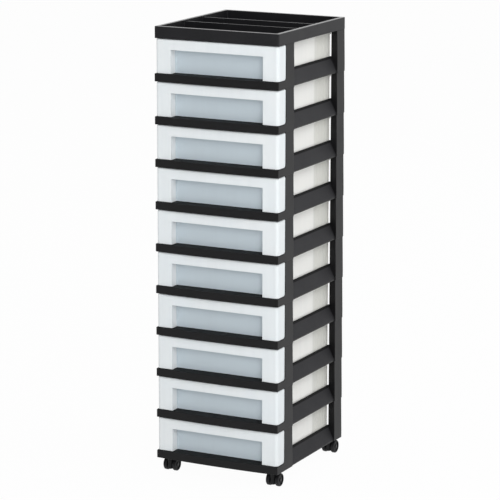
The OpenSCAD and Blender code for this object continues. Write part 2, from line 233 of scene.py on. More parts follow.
def put_in_hand(*pieces):
    """Selects only these pieces, the first one active."""
    bpy.ops.object.select_all(action="DESELECT")
    for piece in pieces:
        piece.select_set(True)
    bpy.context.view_layer.objects.active = pieces[0]


def named(piece, name):
    piece.name = name
    piece.data.name = name
    return piece


def add_block(low, high, edge=0.0, segments=2):
    """A block between two corners, with its edges rounded."""
    low, high = Vector(low), Vector(high)
    bpy.ops.object.select_all(action="DESELECT")
    bpy.ops.mesh.primitive_cube_add(size=1, location=(low + high) / 2, scale=high - low)
    bpy.ops.object.transform_apply(location=True, rotation=True, scale=True)
    piece = bpy.context.object
    if edge:
        soften(piece, edge, segments)
    return piece


def add_round_bar(start, end, radius, vertices=64, edge=0.0):
    """A round bar between two points on a line along X or Z."""
    start, end = Vector(start), Vector(end)
    turn = (0, math.pi / 2, 0) if abs((end - start).x) > 1e-9 else (0, 0, 0)
    bpy.ops.object.select_all(action="DESELECT")
    bpy.ops.mesh.primitive_cylinder_add(vertices=vertices, radius=radius,
                                        depth=(end - start).length,
                                        location=(start + end) / 2, rotation=turn)
    bpy.ops.object.transform_apply(location=True, rotation=True, scale=True)
    piece = bpy.context.object
    if edge:
        soften(piece, edge, 2)
    return piece


def apply_modifier(piece, kind, **settings):
    put_in_hand(piece)
    bpy.ops.object.modifier_add(type=kind)
    modifier = piece.modifiers[-1]
    for key, value in settings.items():
        setattr(modifier, key, value)
    bpy.ops.object.modifier_apply(modifier=modifier.name)


def soften(piece, width, segments=2, limit=30):
    """Rounds every edge that is sharper than the limit, in degrees."""
    apply_modifier(piece, "BEVEL", width=width, segments=segments, limit_method="ANGLE",
                   angle_limit=math.radians(limit), use_clamp_overlap=True)


def combine(piece, operation, tools):
    """Joins or cuts with each tool, then merges stray points and closes pinholes."""
    for tool in tools:
        apply_modifier(piece, "BOOLEAN", operation=operation, solver="EXACT", object=tool)
        bpy.data.objects.remove(tool)
    bpy.ops.object.mode_set(mode="EDIT")
    bpy.ops.mesh.select_mode(type="VERT")
    bpy.ops.mesh.select_all(action="SELECT")
    bpy.ops.mesh.remove_doubles(threshold=STRAY_GAP)
    bpy.ops.mesh.select_all(action="DESELECT")
    bpy.ops.mesh.select_non_manifold(extend=False, use_wire=False, use_boundary=True,
                                     use_multi_face=False, use_non_contiguous=False,
                                     use_verts=False)
    bpy.ops.mesh.fill_holes(sides=0)
    done()
    return piece


def span(side, first, second):
    """Two distances from the middle as places on one side, the lower one first."""
    return sorted((side * first, side * second))


def cut(piece, *tools):
    return combine(piece, "DIFFERENCE", tools)


def bore(piece, x0, x1, y, z, radius):
    """Cuts a round hole along X from before one place to past another."""
    return cut(piece, add_round_bar((x0 - OVER, y, z), (x1 + OVER, y, z), radius, 48))


def unite(piece, *tools):
    return combine(piece, "UNION", tools)


def pick(piece, kind, test):
    """Goes into edit mode with the points, edges or faces that pass the test selected.
    The test gets the middle of each, and a face's normal or an edge's direction."""
    put_in_hand(piece)
    bpy.ops.object.mode_set(mode="EDIT")
    bpy.ops.mesh.select_mode(type=kind)
    bpy.ops.mesh.select_all(action="DESELECT")
    mesh = bmesh.from_edit_mesh(piece.data)
    if kind == "VERT":
        found = [v for v in mesh.verts if test(v.co, None)]
    elif kind == "EDGE":
        found = [e for e in mesh.edges
                 if test((e.verts[0].co + e.verts[1].co) / 2,
                         (e.verts[1].co - e.verts[0].co).normalized())]
    else:
        found = [f for f in mesh.faces if test(f.calc_center_median(), f.normal)]
    if not found:
        raise RuntimeError(f"nothing to pick on {piece.name}")
    for part in found:
        part.select_set(True)
    bmesh.update_edit_mesh(piece.data)


def done():
    bpy.ops.object.mode_set(mode="OBJECT")


def near(value, target, slack=0.00005):
    return abs(value - target) < slack


def push(offset):
    """Extrudes what is picked."""
    bpy.ops.mesh.extrude_region_move(TRANSFORM_OT_translate={"value": offset})


def shift(offset):
    bpy.ops.transform.translate(value=offset)


def round_picked(width, segments):
    bpy.ops.mesh.bevel(offset=width, segments=segments, affect="EDGES", clamp_overlap=True)


def place(piece, z):
    """Raises a piece and leaves its object at the origin."""
    piece.location = (0, 0, z)
    put_in_hand(piece)
    bpy.ops.object.transform_apply(location=True, rotation=True, scale=True)
    return piece


def copy_of(piece, name):
    twin = piece.copy()
    twin.data = piece.data.copy()
    bpy.context.scene.collection.objects.link(twin)
    return named(twin, name)


def smooth(piece, limit=32):
    """Shades the roundings smooth and keeps the large faces flat."""
    put_in_hand(piece)
    bpy.ops.object.shade_smooth_by_angle(angle=math.radians(limit))
    apply_modifier(piece, "WEIGHTED_NORMAL", keep_sharp=True)
    return piece


# ---- finishes ----

class Socket:
    """A number socket of a shader, on which plain sums add Math nodes."""

    def __init__(self, finish, socket):
        self.finish = finish
        self.socket = socket

    def sum(self, operation, first, second):
        return self.finish.node("ShaderNodeMath", {"operation": operation},
                                {0: first, 1: second})

    def __add__(self, other):
        return self.sum("ADD", self, other)

    def __radd__(self, other):
        return self.sum("ADD", other, self)

    def __sub__(self, other):
        return self.sum("SUBTRACT", self, other)

    def __rsub__(self, other):
        return self.sum("SUBTRACT", other, self)

    def __mul__(self, other):
        return self.sum("MULTIPLY", self, other)

    def __rmul__(self, other):
        return self.sum("MULTIPLY", other, self)

    def __truediv__(self, other):
        return self.sum("DIVIDE", self, other)

    def __rtruediv__(self, other):
        return self.sum("DIVIDE", other, self)

    def __abs__(self):
        return self.sum("ABSOLUTE", self, 0.0)


class Finish:
    """A material that is put together in code."""

    def __init__(self, name, owner=None):
        self.owner = owner or bpy.data.materials.new(name)
        self.owner.use_nodes = True
        self.tree = self.owner.node_tree
        self.tree.nodes.clear()

    def node(self, kind, settings=None, inputs=None, output=0):
        new = self.tree.nodes.new(kind)
        for key, value in (settings or {}).items():
            setattr(new, key, value)
        for key, value in (inputs or {}).items():
            if isinstance(value, Socket):
                self.tree.links.new(value.socket, new.inputs[key])
            else:
                new.inputs[key].default_value = value
        return Socket(self, new.outputs[output]) if new.outputs else None

    def places(self):
        return self.node("ShaderNodeTexCoord", output="Object")

    def stretched(self, scale):
        """The places on a piece, drawn out so that a pattern is longer one way."""
        return self.node("ShaderNodeMapping", {}, {"Vector": self.places(), "Scale": scale})

    def noise(self, scale, detail=3.0, roughness=0.5, vector=None):
        return self.node("ShaderNodeTexNoise", {}, {
            "Vector": vector or self.places(), "Scale": scale, "Detail": detail,
            "Roughness": roughness})

    def range(self, value, low, high, to_low=0.0, to_high=1.0):
        return self.node("ShaderNodeMapRange", {"clamp": True}, {
            "Value": value, "From Min": low, "From Max": high, "To Min": to_low,
            "To Max": to_high})

    def band(self, value, low, high, soft=0.0004):
        """1 between two values and 0 outside them."""
        return self.range(value, low, low + soft) * self.range(value, high, high - soft)

    def part(self, vector, axis):
        return self.node("ShaderNodeSeparateXYZ", {}, {0: vector}, output="xyz".index(axis))

    def mixed(self, amount, first, second):
        return self.node("ShaderNodeMix", {"data_type": "RGBA"},
                         {0: amount, 6: first, 7: second}, output=2)

    def edges(self, radius):
        """How near a place is to an edge, from 0 on a flat to about 1."""
        rounded = self.node("ShaderNodeBevel", {"samples": 6}, {"Radius": radius})
        flat = self.node("ShaderNodeNewGeometry", output="Normal")
        same = self.node("ShaderNodeVectorMath", {"operation": "DOT_PRODUCT"},
                         {0: rounded, 1: flat}, output="Value")
        return self.range(same, 0.99, 0.80)

    def bump(self, height, distance, depth, normal=None):
        inputs = {"Height": height, "Distance": distance, "Strength": depth}
        if normal:
            inputs["Normal"] = normal
        return self.node("ShaderNodeBump", {}, inputs)

    def surface(self, shader):
        self.node("ShaderNodeOutputMaterial", {}, {"Surface": shader})
        return self.owner

    def plastic(self, inputs):
        return self.surface(self.node("ShaderNodeBsdfPrincipled", {}, inputs))


def rgba(shade, gain=1.0):
    return (*(min(1.0, part * gain) for part in shade), 1.0)


def moulded_black(name, base, bloom, grain, rough=0.34, flat_rough=0.34, gap_shade_reach=None):
    """Satin black plastic: cloudy, finely grained and paler on its edges, partly from wear and
    partly as a painted edge highlight. Faces that look up are rougher by flat_rough; sloping ones
    are painted paler, a painted sheen. The last argument gives the reach in X and in Y of a
    rougher strip with painted shadow."""
    finish = Finish(name)
    cloud = finish.noise(14.0, 4.0, 0.6)
    speck = finish.noise(grain * 0.35, 2.0, 0.5)
    worn_and_highlit = finish.edges(0.0012)
    facing = finish.node("ShaderNodeNewGeometry", output="Normal")
    up = finish.part(facing, "z")
    slope = finish.range(up, 0.25, 0.35) * finish.range(up, 0.75, 0.6)
    tone = finish.mixed(finish.range(cloud, 0.35, 0.7, 0.0, 0.75), rgba(base), rgba(bloom))
    # Painted sheen: sloping faces are painted paler, with the bloom three times brighter; they
    # are also rougher below
    tone = finish.mixed(slope * 0.85, tone, rgba(bloom, 3.0))
    tone = finish.mixed(finish.range(speck, 0.55, 0.75, 0.0, 0.35), tone, rgba(bloom, 1.25))
    # Painted edge highlight, partly real wear: the edges are painted with the bloom three times
    # brighter
    tone = finish.mixed(worn_and_highlit * 0.55, tone, rgba(bloom, 3.0))
    rough = (finish.range(cloud, 0.3, 0.7, rough, rough + 0.1) - worn_and_highlit * 0.06
             + slope * 0.24 + finish.range(up, 0.7, 0.95) * flat_rough)
    if gap_shade_reach:
        across, along = abs(finish.part(finish.places(), "x")), finish.part(finish.places(), "y")
        # Painted shadow: on a rail's upright edge, where the gap under the drawer is in shade,
        # the strip keeps the plain base colour without bloom or sheen, and is rougher
        dull = finish.band(across, *gap_shade_reach[0]) * finish.band(along, *gap_shade_reach[1])
        tone = finish.mixed(dull, tone, rgba(base))
        rough = rough + dull * 0.4
    fine = finish.noise(grain, 2.0, 0.6)
    wave = finish.noise(34.0, 2.0, 0.5)
    normal = finish.bump(wave, 0.0004, 0.35)
    normal = finish.bump(fine, 0.00006, 0.5, normal)
    return finish.plastic({"Base Color": tone, "Roughness": rough, "Normal": normal,
                           "IOR": 1.5, "Specular IOR Level": 0.2})


def pearl_plastic(name, settings, recess, side_start, rib_start):
    """Milky pearl plastic with faint upright flow lines: painted darker and bluer where it is
    thin behind the recess, a painted shade of the dark inside; paler on the recess' flanks,
    painted light; warmer on the sides and darker towards the rear."""
    finish = Finish(name)
    cloud = finish.noise(9.0, 3.0, 0.55)
    flow = finish.noise(60.0, 3.0, 0.6, finish.stretched((1.0, 1.0, 0.06)))
    across, along = abs(finish.part(finish.places(), "x")), finish.part(finish.places(), "y")
    recess_x, mouth_y, panel_y = recess
    tone = finish.mixed(finish.range(cloud, 0.3, 0.7, 0.0, 0.6), rgba(settings.pearl),
                        rgba(settings.pearl_thick))
    # Painted light: the recess' flanks are painted paler
    lit_flank = finish.band(across, recess_x - 0.004, recess_x + 0.001)
    lit_flank = lit_flank * finish.band(along, mouth_y + 0.0015, panel_y - 0.001, 0.002)
    tone = finish.mixed(lit_flank, tone, rgba(settings.lit_flank))
    # Painted shade: the thin panel behind the recess is painted darker and bluer, for the dark
    # inside showing through
    thin = finish.range(across, recess_x + 0.001, recess_x - 0.0005)
    thin = thin * finish.band(along, panel_y - 0.0035, panel_y + 0.002, 0.001)
    tone = finish.mixed(thin, tone, rgba(settings.window))
    rear = finish.range(along + cloud * 0.004, rib_start, rib_start + 0.006)
    side = finish.mixed(rear, rgba(settings.side_pearl), rgba(settings.rear_pearl))
    tone = finish.mixed(finish.range(along, side_start, side_start + 0.002), tone, side)
    tone = finish.mixed(finish.range(flow, 0.4, 0.75, 0.0, 0.09), tone, (0.5, 0.56, 0.6, 1.0))
    rough = finish.range(cloud, 0.3, 0.7, 0.30, 0.38) + flow * 0.05
    fine = finish.noise(settings.grain * 0.8, 2.0, 0.55)
    normal = finish.bump(flow, 0.0003, 0.3)
    normal = finish.bump(fine, 0.00004, 0.4, normal)
    return finish.plastic({"Base Color": tone, "Roughness": rough, "Normal": normal,
                           "IOR": 1.49})


def wheel_plastic(name, base, grain):
    """Dark cloudy wheel plastic with a little floor dust."""
    finish = Finish(name)
    cloud = finish.noise(70.0, 3.0, 0.6)
    dust = finish.noise(420.0, 3.0, 0.6)
    tone = finish.mixed(finish.range(cloud, 0.35, 0.7, 0.0, 0.6), rgba(base), rgba(base, 1.5))
    tone = finish.mixed(finish.range(dust, 0.56, 0.75, 0.0, 0.4), tone, rgba(base, 2.6))
    rough = finish.range(cloud, 0.3, 0.7, 0.42, 0.58)
    fine = finish.noise(grain, 2.0, 0.6)
    return finish.plastic({"Base Color": tone, "Roughness": rough,
                           "Normal": finish.bump(fine, 0.00008, 0.5), "IOR": 1.5,
                           "Specular IOR Level": 0.2})


def plated_steel(name, base):
    """Plated steel with fine drawn lines and a few dull spots."""
    finish = Finish(name)
    spots = finish.noise(300.0, 3.0, 0.6)
    lines = finish.noise(1400.0, 2.0, 0.5, finish.stretched((1.0, 1.0, 0.05)))
    tone = finish.mixed(finish.range(spots, 0.5, 0.7, 0.0, 0.5), rgba(base), rgba(base, 0.7))
    rough = finish.range(spots, 0.4, 0.7, 0.26, 0.44) + lines * 0.08
    return finish.plastic({"Base Color": tone, "Roughness": rough, "Metallic": 1.0,
                           "Normal": finish.bump(lines, 0.00003, 0.4)})


def dress(piece, finish):
    piece.data.materials.clear()
    piece.data.materials.append(finish)
    return piece


# ---- shelf frames ----

class TowerFrames(bpy.types.Operator):
    """Shelf frames with posts, rails and runners; the lowest one holds the casters"""
    bl_idname = "tower.shelf_frames"
    bl_label = "Shelf frames"
    bl_options = {"REGISTER", "UNDO"}

    def execute(self, context):
        sizes = context.scene.tower_rack
        finishes = context.scene.tower_finishes
        # Reach in X and in Y of the strip on each rail's upright edge that is painted with the
        # gap shadow
        gap_shade_reach = ((sizes.guide_x - 0.0004, sizes.guide_x + sizes.rail_t + 0.0006),
                  (CORNER_Y + sizes.shelf_d + sizes.front_post_d, BACK_Y))
        black = moulded_black("rack_black", finishes.rack_black, finishes.rack_bloom_and_sheen,
                              finishes.grain, gap_shade_reach=gap_shade_reach)
        ring = self.ring(sizes)
        for tier in range(TIERS):
            node = "base_frame" if tier == 0 else f"shelf_frame_{tier + 1}"
            name = "base_ring" if tier == 0 else f"shelf_ring_{tier + 1}"
            piece = copy_of(ring, name)
            if tier == 0:
                self.sockets(piece, sizes, context.scene.tower_caster)
            place(piece, BASE_Z + tier * TIER_H)
            smooth(dress(piece, black))
            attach(piece, "rack")
            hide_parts(node)
        bpy.data.objects.remove(ring)
        return {"FINISHED"}

    def ring(self, sizes):
        shelf_end = CORNER_Y + sizes.shelf_d
        beam_y = BACK_Y - sizes.back_post_d
        posts = [(shelf_end, shelf_end + sizes.front_post_d), (beam_y, BACK_Y)]
        ring = self.front_shelf(sizes, shelf_end)
        unite(ring, add_block((-HALF_W, beam_y, 0), (HALF_W, BACK_Y, sizes.shelf_h)))
        for side in (-1, 1):
            for y0, y1 in posts:
                unite(ring, self.post(sizes, side, y0, y1, 0.0))
        soften(ring, sizes.edge, 3)
        cut(ring, self.shelf_hollow(sizes, shelf_end))
        cut(ring, add_block((-HALF_W + sizes.wall, beam_y + sizes.wall, -OVER),
                            (HALF_W - sizes.wall, BACK_Y - sizes.wall,
                             sizes.shelf_h - sizes.wall), SOFT_EDGE))
        for side in (-1, 1):
            for y0, y1 in posts:
                cut(ring, self.post(sizes, side, y0, y1, sizes.wall))
                unite(ring, self.peg(sizes, side, y0, y1))
            unite(ring, self.rail(sizes, side, posts[0][1] - OVER, beam_y + sizes.rail_end))
            unite(ring, self.rail(sizes, side, beam_y - sizes.bead_d, beam_y + 0.0005,
                                  sizes.bead_h))
            unite(ring, self.runner(sizes, side, shelf_end, posts[0][1], beam_y))
            unite(ring, self.lip_fillet(sizes, side, shelf_end))
            unite(ring, self.window_fillet(sizes, side, posts[0][1]))
        web_t, web_low = 0.002, 0.002
        for k in (-1, 0, 1):
            x = k * (HALF_W - sizes.post_t) / 2
            for y0, y1 in ((CORNER_Y, shelf_end), (beam_y, BACK_Y)):
                unite(ring, add_block((x - web_t / 2, y0 + OVER, web_low),
                                      (x + web_t / 2, y1 - OVER, sizes.shelf_h - OVER)))
        return ring

    def front_shelf(self, sizes, shelf_end, inset=0.0, top=None):
        """The front shelf, whose lip follows a wide arc."""
        radius = (HALF_W ** 2 + sizes.lip_bow ** 2) / (2 * sizes.lip_bow)
        top = sizes.shelf_h if top is None else top
        low = -OVER if inset else 0.0
        shelf = add_block((-HALF_W + inset, LIP_Y - OVER, low),
                          (HALF_W - inset, shelf_end - inset, top))
        arc = add_round_bar((0, LIP_Y + radius, -0.01), (0, LIP_Y + radius, 0.03),
                            radius - inset, 720)
        combine(shelf, "INTERSECT", [arc])
        return shelf

    def shelf_hollow(self, sizes, shelf_end):
        return self.front_shelf(sizes, shelf_end, sizes.wall, sizes.shelf_h - sizes.wall)

    def post(self, sizes, side, y0, y1, inset):
        """A post that leans in above the lip, or the channel inside it."""
        inner = HALF_W - sizes.post_t - (OVER if inset else 0.0)
        outer = HALF_W - inset
        x0, x1 = span(side, inner, outer)
        top = TIER_H - inset
        post = add_block((x0, y0 + inset, -OVER if inset else 0.0), (x1, y1 - inset, top))
        pick(post, "FACE", lambda middle, normal: True)
        bpy.ops.mesh.bisect(plane_co=(0, 0, sizes.shelf_h), plane_no=(0, 0, 1))
        done()
        pick(post, "VERT", lambda middle, normal: near(middle.z, top)
             and near(middle.x, side * outer))
        shift((-side * sizes.post_lean, 0, 0))
        done()
        return post

    def peg(self, sizes, side, y0, y1):
        inner = sizes.wall + 0.00025
        x0, x1 = span(side, HALF_W - sizes.post_t + sizes.wall, HALF_W - inner)
        return add_block((x0, y0 + inner, TIER_H - sizes.wall),
                         (x1, y1 - inner, TIER_H + PEG_H), FINE_EDGE)

    def rail(self, sizes, side, y0, y1, proud=0.0):
        """A side rail: a foot, a web that leans in and an upright edge."""
        foot = HALF_W - sizes.rail_inset
        inner = sizes.guide_x
        lean = inner + sizes.rail_t - foot
        web_h = sizes.rail_h - sizes.rail_edge - sizes.rail_foot_h
        x0, x1 = span(side, foot - sizes.rail_t, foot + proud)
        rail = add_block((x0, y0, 0), (x1, y1, sizes.rail_foot_h))
        pick(rail, "FACE", lambda middle, normal: normal.z > 0.9)
        push((side * lean, 0, web_h))
        push((0, 0, sizes.rail_edge))
        done()
        soften(rail, FINE_EDGE, 2, 20)
        return rail

    def runner(self, sizes, side, shelf_end, post_end, beam_y):
        """The ledge under the edge of a drawer's floor, wider beside the front post."""
        inner = sizes.guide_x - sizes.guide_gap - sizes.bearing
        web_x = (HALF_W - sizes.rail_inset + sizes.guide_x) / 2
        x0, x1 = span(side, inner, web_x)
        low, high = sizes.shelf_h - sizes.wall, sizes.shelf_h
        ledge = add_block((x0, shelf_end - OVER, low), (x1, beam_y + OVER, high), THIN_EDGE)
        x0, x1 = span(side, inner, HALF_W - OVER)
        return unite(ledge, add_block((x0, shelf_end - OVER, low),
                                      (x1, post_end - OVER, high), THIN_EDGE))

    def lip_fillet(self, sizes, side, shelf_end):
        """The thin hollowed corner between the top of the lip and the front post."""
        r, web_t = sizes.lip_fillet, 0.0013
        x0, x1 = span(side, HALF_W - web_t, HALF_W - HAIR)
        low = sizes.shelf_h - OVER
        web = add_block((x0, shelf_end - r, low), (x1, shelf_end + OVER, sizes.shelf_h + r))
        return bore(web, x0, x1, shelf_end - r, sizes.shelf_h + r, r)

    def window_fillet(self, sizes, side, post_end):
        """The rounded upper corner of a side window, behind the front post."""
        r = sizes.window_round
        outer = HALF_W - sizes.post_lean
        x0, x1 = span(side, outer - sizes.wall, outer - HAIR)
        top = TIER_H - 2 * HAIR
        web = add_block((x0, post_end - OVER, top - r), (x1, post_end + r, top))
        return bore(web, x0, x1, post_end + r, top - r, r)

    def sockets(self, ring, sizes, casters):
        drop = BASE_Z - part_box("base_frame")[0].z
        top = sizes.shelf_h - OVER
        for corner, _ in CORNERS:
            low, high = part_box(f"{corner}_caster_stem")
            x, y = (low.x + high.x) / 2, (low.y + high.y) / 2
            unite(ring, add_round_bar((x, y, -drop), (x, y, top), sizes.socket_r, 48,
                                      FINE_EDGE))
            cut(ring, add_round_bar((x, y, -drop - OVER), (x, y, sizes.shelf_h - sizes.wall),
                                    casters.stem_bore_r, 48))


# ---- drawers ----

class TowerDrawers(bpy.types.Operator):
    """Pearl drawers with a hooded recess, a rim, ribs and stop tabs"""
    bl_idname = "tower.drawers"
    bl_label = "Drawers"
    bl_options = {"REGISTER", "UNDO"}

    def execute(self, context):
        sizes = context.scene.tower_drawer
        finishes = context.scene.tower_finishes
        rack = context.scene.tower_rack
        back = DRAWER_HIGH.y - sizes.rim_back
        front_y = CORNER_Y + sizes.setback
        recess = (HALF_W - sizes.front_inset - sizes.column_w, front_y,
                  front_y + sizes.recess_d)
        pearl = pearl_plastic("drawer_pearl", finishes, recess, CORNER_Y + rack.shelf_d,
                              back - sizes.side_round - sizes.ribbed_d)
        drawer = self.drawer(sizes, rack, back)
        for tier in range(TIERS):
            node = f"drawer_{tier + 1}"
            piece = copy_of(drawer, f"pearl_{node}")
            dress(piece, pearl)
            place(piece, BASE_Z + tier * TIER_H)
            smooth(piece)
            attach(piece, node)
            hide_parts(node)
        bpy.data.objects.remove(drawer)
        return {"FINISHED"}

    def drawer(self, sizes, rack, back):
        wall, half_w = sizes.wall, sizes.half_w
        front_y = CORNER_Y + sizes.setback
        front_end = CORNER_Y + rack.shelf_d - sizes.foot_gap
        front_x = HALF_W - sizes.front_inset
        low = rack.shelf_h + 2 * sizes.foot_gap
        top = TIER_H - sizes.front_gap
        rim_z = TIER_H - sizes.rim_drop
        recess_x = front_x - sizes.column_w
        panel_y = front_y + sizes.recess_d
        floor = rack.shelf_h + sizes.foot_gap

        drawer = self.front_block(sizes, front_x, front_y, front_end, low, top, 0.0)
        unite(drawer, self.box(sizes, panel_y, back, floor, rim_z, 0.0))
        rim = add_block((-half_w - sizes.rim_out, front_end - OVER, rim_z - sizes.rim_h),
                        (half_w + sizes.rim_out, DRAWER_HIGH.y, rim_z))
        self.round_uprights(rim, sizes.side_round + sizes.rim_out / 2)
        soften(rim, SOFT_EDGE, 2)
        unite(drawer, rim)
        for side in (-1, 1):
            unite(drawer, self.ribs(sizes, side, back, rack.rail_h - 0.01, rim_z))
        cut(drawer, self.box(sizes, panel_y, back, floor + wall, TIER_H + OVER, wall))
        for side in (-1, 1):
            hollow = self.front_block(sizes, front_x, front_y, front_end, low, top, wall)
            x0, x1 = span(side, recess_x + wall, front_x + OVER)
            half = add_block((x0, front_y, low), (x1, front_end, top))
            cut(drawer, combine(hollow, "INTERSECT", [half]))
        cut(drawer, self.recess(sizes, recess_x, front_y, panel_y, rack.shelf_h, top))
        self.round_mouth(drawer, sizes, recess_x, front_y, top)
        unite(drawer, add_block((-recess_x - wall, panel_y, floor + 2 * HAIR),
                                (recess_x + wall, panel_y + wall, top - OVER)))
        stop_gap = 0.001
        stop_y = BACK_Y - rack.back_post_d - stop_gap
        for side in (-1, 1):
            x0, x1 = span(side, half_w - wall, half_w)
            unite(drawer, add_block((x0, stop_y - sizes.stop_d, rim_z - sizes.rim_h),
                                    (x1, stop_y, STOP_Z), FINE_EDGE))
        return drawer

    def round_uprights(self, piece, radius, test=lambda middle: True):
        pick(piece, "EDGE", lambda middle, along: abs(along.z) > 0.9 and test(middle))
        round_picked(radius, 8)
        done()

    def front_block(self, sizes, x, y0, y1, low, top, inset):
        """The hooded front as a block with round upright corners and a round top edge."""
        block = add_block((-x + inset, y0 + inset, low + inset),
                          (x - inset, y1 - inset, top - inset))
        self.round_uprights(block, sizes.front_round - inset,
                            lambda middle: near(middle.y, y0 + inset))
        round_to = max(0.0005, sizes.top_round - inset)
        pick(block, "EDGE", lambda middle, along: near(middle.z, top - inset)
             and middle.y < y1 - inset - HAIR)
        round_picked(round_to, 5)
        done()
        if not inset:
            soften(block, FINE_EDGE, 2, 40)
        return block

    def box(self, sizes, y0, y1, low, top, inset):
        box = add_block((-sizes.half_w + inset, y0 + inset, low),
                        (sizes.half_w - inset, y1 - inset, top))
        self.round_uprights(box, sizes.side_round - inset)
        pick(box, "EDGE", lambda middle, along: near(middle.z, low))
        round_picked(0.0018 - inset / 4, 3)
        done()
        return box

    def ribs(self, sizes, side, back, low, rim_z):
        x0, x1 = span(side, sizes.half_w - OVER, sizes.half_w + sizes.rib_out)
        y = back - sizes.side_round - sizes.rib_t
        rib = add_block((x0, y, low), (x1, y + sizes.rib_t, rim_z - sizes.rim_h + OVER))
        apply_modifier(rib, "ARRAY", count=int(sizes.ribbed_d / sizes.rib_pitch),
                       use_relative_offset=False, use_constant_offset=True,
                       constant_offset_displace=(0, -sizes.rib_pitch, 0))
        return rib

    def recess(self, sizes, recess_x, front_y, panel_y, shelf_h, top):
        """The space of the recess: the open window and the hollow under its hood."""
        band_low = top - sizes.band_h
        window = add_block((-recess_x, front_y - OVER, shelf_h - OVER),
                           (recess_x, panel_y, band_low))
        unite(window, add_block((-recess_x, front_y + sizes.wall, shelf_h - OVER),
                                (recess_x, panel_y, top - sizes.wall)))
        pick(window, "EDGE", lambda middle, along: abs(along.z) > 0.9
             and near(middle.y, panel_y))
        round_picked(sizes.corner_fillet, 6)
        done()
        return window

    def round_mouth(self, drawer, sizes, recess_x, front_y, top):
        """Rounds the front edges of the columns and of the band."""
        band_low = top - sizes.band_h
        pick(drawer, "EDGE", lambda middle, along: near(middle.y, front_y) and (
            (abs(along.z) > 0.9 and near(abs(middle.x), recess_x) and middle.z < band_low)
            or (abs(along.x) > 0.9 and near(middle.z, band_low)
                and abs(middle.x) < recess_x)))
        round_picked(sizes.mouth_round, 4)
        done()


# ---- tray ----

class TowerTray(bpy.types.Operator):
    """Tray with a flat rim and three compartments on top of the tower"""
    bl_idname = "tower.tray"
    bl_label = "Tray"
    bl_options = {"REGISTER", "UNDO"}

    def execute(self, context):
        sizes = context.scene.tower_tray
        finishes = context.scene.tower_finishes
        height = TRAY_HIGH.z - TRAY_LOW.z
        edge, bay_edge, ledge = 0.0011, 0.0015, 0.003
        tray = self.rounded((-HALF_W, CORNER_Y, 0), (HALF_W, BACK_Y, height), sizes.corner,
                            edge)
        bay_x = HALF_W - sizes.rim_w
        y0, y1 = CORNER_Y + sizes.rim_w, BACK_Y - sizes.rim_w
        self.hollow(tray, sizes, bay_x, y0, y1, height)
        ends = [y0, y0 + sizes.front_bay_d,
                y0 + sizes.front_bay_d + sizes.divider_t + sizes.middle_bay_d, y1]
        for k in range(3):
            start = ends[k] + (sizes.divider_t if k else 0.0)
            cut(tray, self.rounded((-bay_x, start, sizes.floor_h + sizes.wall),
                                   (bay_x, ends[k + 1], height + 0.01), sizes.corner, bay_edge))
        cut(tray, add_block((-bay_x + ledge, y0 + ledge, height - sizes.divider_drop),
                            (bay_x - ledge, y1 - ledge, height + OVER)))
        self.round_rim(tray, bay_x, y0, y1, height)
        self.feet(tray, context.scene.tower_rack, sizes, context.scene.tower_drawer.half_w)
        place(named(tray, "tray"), TRAY_LOW.z)
        smooth(dress(tray, moulded_black("tray_black", finishes.tray_black,
                                         finishes.tray_bloom_and_sheen, finishes.grain, 0.38, -0.28)))
        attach(tray, "rack")
        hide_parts("organizer_tray")
        return {"FINISHED"}

    def rounded(self, low, high, radius, edge):
        """A block with round upright corners and softened rims."""
        block = add_block(low, high)
        pick(block, "EDGE", lambda middle, along: abs(along.z) > 0.9)
        round_picked(radius, 6)
        done()
        soften(block, edge, 3, 40)
        return block

    def hollow(self, tray, sizes, bay_x, y0, y1, height):
        """The space under the rim, between the outer wall and the compartments."""
        wall = sizes.wall
        space = add_block((-HALF_W + wall, CORNER_Y + wall, -OVER),
                          (HALF_W - wall, BACK_Y - wall, height - wall))
        cut(space, add_block((-bay_x - wall, y0 - wall, sizes.floor_h),
                             (bay_x + wall, y1 + wall, height)))
        cut(tray, space)

    def round_rim(self, tray, bay_x, y0, y1, height):
        """Rounds the rim's inner edge."""
        pick(tray, "EDGE", lambda middle, along: near(middle.z, height)
             and abs(middle.x) < bay_x + HAIR and y0 - HAIR < middle.y < y1 + HAIR)
        round_picked(SOFT_EDGE, 2)
        done()

    def feet(self, tray, rack, sizes, stop_x):
        """The feet over the posts' pegs, and the bar that stops the top drawer's tabs."""
        inner = HALF_W - rack.post_t
        shelf_end = CORNER_Y + rack.shelf_d
        spans = [(shelf_end, shelf_end + rack.front_post_d), (BACK_Y - rack.back_post_d, BACK_Y)]
        for side in (-1, 1):
            for y0, y1 in spans:
                x0, x1 = span(side, inner, HALF_W - OVER)
                foot = add_block((x0, y0, 0), (x1, y1, sizes.floor_h + OVER))
                x0, x1 = span(side, inner - OVER, HALF_W - sizes.wall)
                cut(foot, add_block((x0, y0 + sizes.wall, -OVER),
                                    (x1, y1 - sizes.wall, sizes.floor_h)))
                unite(tray, foot)
        unite(tray, add_block((-stop_x - OVER, shelf_end - sizes.wall, 0),
                              (stop_x + OVER, shelf_end, sizes.floor_h + OVER)))


# ---- casters ----

